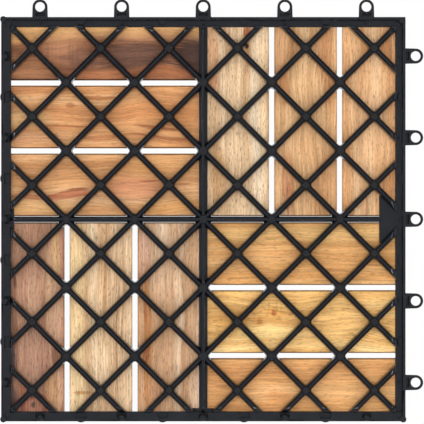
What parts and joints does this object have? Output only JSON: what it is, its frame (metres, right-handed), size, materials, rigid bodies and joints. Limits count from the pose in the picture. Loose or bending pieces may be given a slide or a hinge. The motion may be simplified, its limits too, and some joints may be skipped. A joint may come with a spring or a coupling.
{
  "type": "interlocking deck tile",
  "caption": "Square outdoor floor tile of wooden slats on a moulded plastic lattice, with rings on two sides and pegs on the other two that join it to its neighbours.",
  "frame": {"origin": "middle of the tile's square body, on the plane of the slats' walking faces", "axes": "+Z out of the plastic grid, away from the walking faces; +X to the side whose rings stand right; +Y to the side whose rings stand at the back. In use the tile is turned over, with -Z up."},
  "size_m": [0.314, 0.314, 0.024],
  "materials": {
    "moulded_polypropylene": "moulded, slightly satin charcoal",
    "black_screws": "black coated steel",
    "tan_acacia": "oiled, satin",
    "orange_acacia": "oiled, satin",
    "dark_acacia": "oiled, satin",
    "pale_acacia": "oiled, satin",
    "brown_acacia": "oiled, satin",
    "golden_acacia": "oiled, satin"
  },
  "bodies": {
    "root": {"base_grid": "moulded_polypropylene", "slat_back_left_1": "tan_acacia", "slat_back_left_2": "orange_acacia", "slat_back_left_3": "dark_acacia", "slat_back_right_1": "pale_acacia", "slat_back_right_2": "pale_acacia", "slat_back_right_3": "pale_acacia", "slat_front_left_1": "tan_acacia", "slat_front_left_2": "pale_acacia", "slat_front_left_3": "brown_acacia", "slat_front_right_1": "golden_acacia", "slat_front_right_2": "golden_acacia", "slat_front_right_3": "golden_acacia", "screws_back_left_1": "black_screws", "screws_back_left_2": "black_screws", "screws_back_left_3": "black_screws", "screws_back_right_1": "black_screws", "screws_back_right_2": "black_screws", "screws_back_right_3": "black_screws", "screws_front_left_1": "black_screws", "screws_front_left_2": "black_screws", "screws_front_left_3": "black_screws", "screws_front_right_1": "black_screws", "screws_front_right_2": "black_screws", "screws_front_right_3": "black_screws"}
  },
  "joints": []
}
